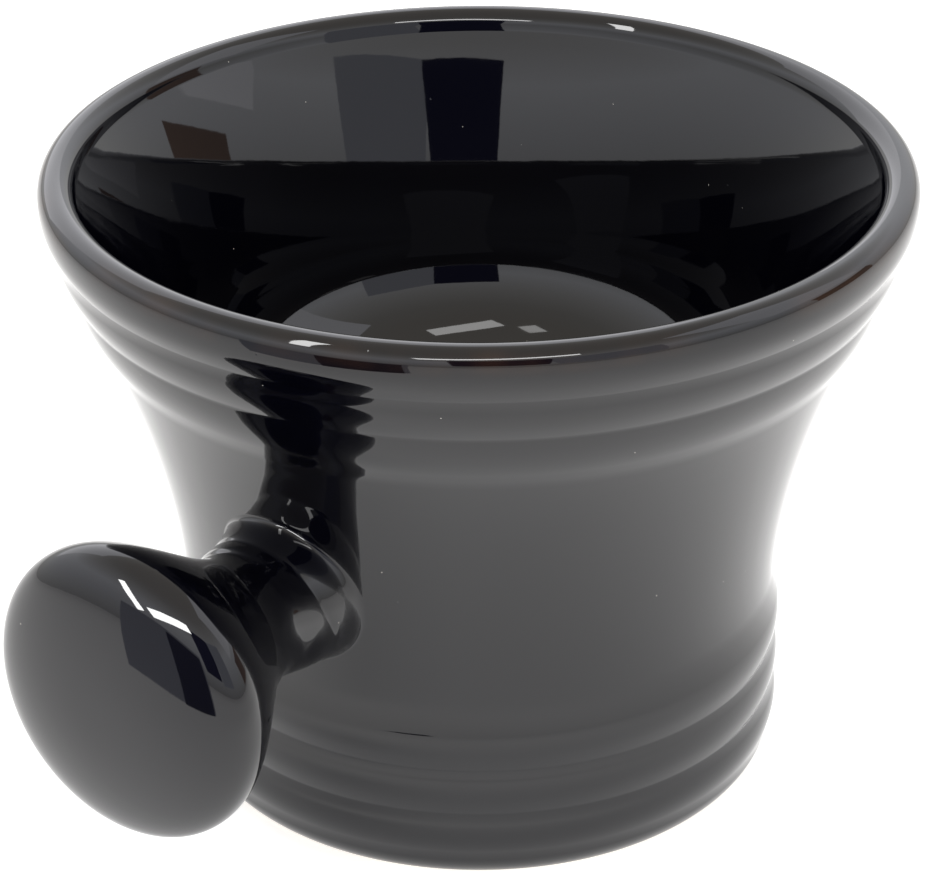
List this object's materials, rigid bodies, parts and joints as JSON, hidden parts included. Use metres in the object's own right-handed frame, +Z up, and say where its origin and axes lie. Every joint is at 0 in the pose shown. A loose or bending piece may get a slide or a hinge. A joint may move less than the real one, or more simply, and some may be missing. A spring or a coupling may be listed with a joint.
{
  "type": "shaving mug",
  "caption": "Black glazed ceramic shaving mug with a flared rim, grooved grip bands, ringed hollow foot and a round knob handle on a short neck.",
  "frame": {"origin": "on the bowl's axis, in the plane of the foot ring that the mug stands on", "axes": "+Z up along the bowl's axis; the knob handle points along -Y"},
  "size_m": [0.114, 0.1362, 0.0856],
  "materials": {
    "black_glaze": "glossy fired black glaze",
    "bisque_clay": "matt bare fired clay",
    "slip_clay": "matt fired slip"
  },
  "bodies": {
    "root": {"mug_body": "bisque_clay", "knob_handle": "bisque_clay", "handle_slip": "slip_clay", "glaze_outside": "black_glaze", "glaze_inside": "black_glaze", "glaze_knob": "black_glaze", "glaze_underside": "black_glaze"}
  },
  "joints": []
}
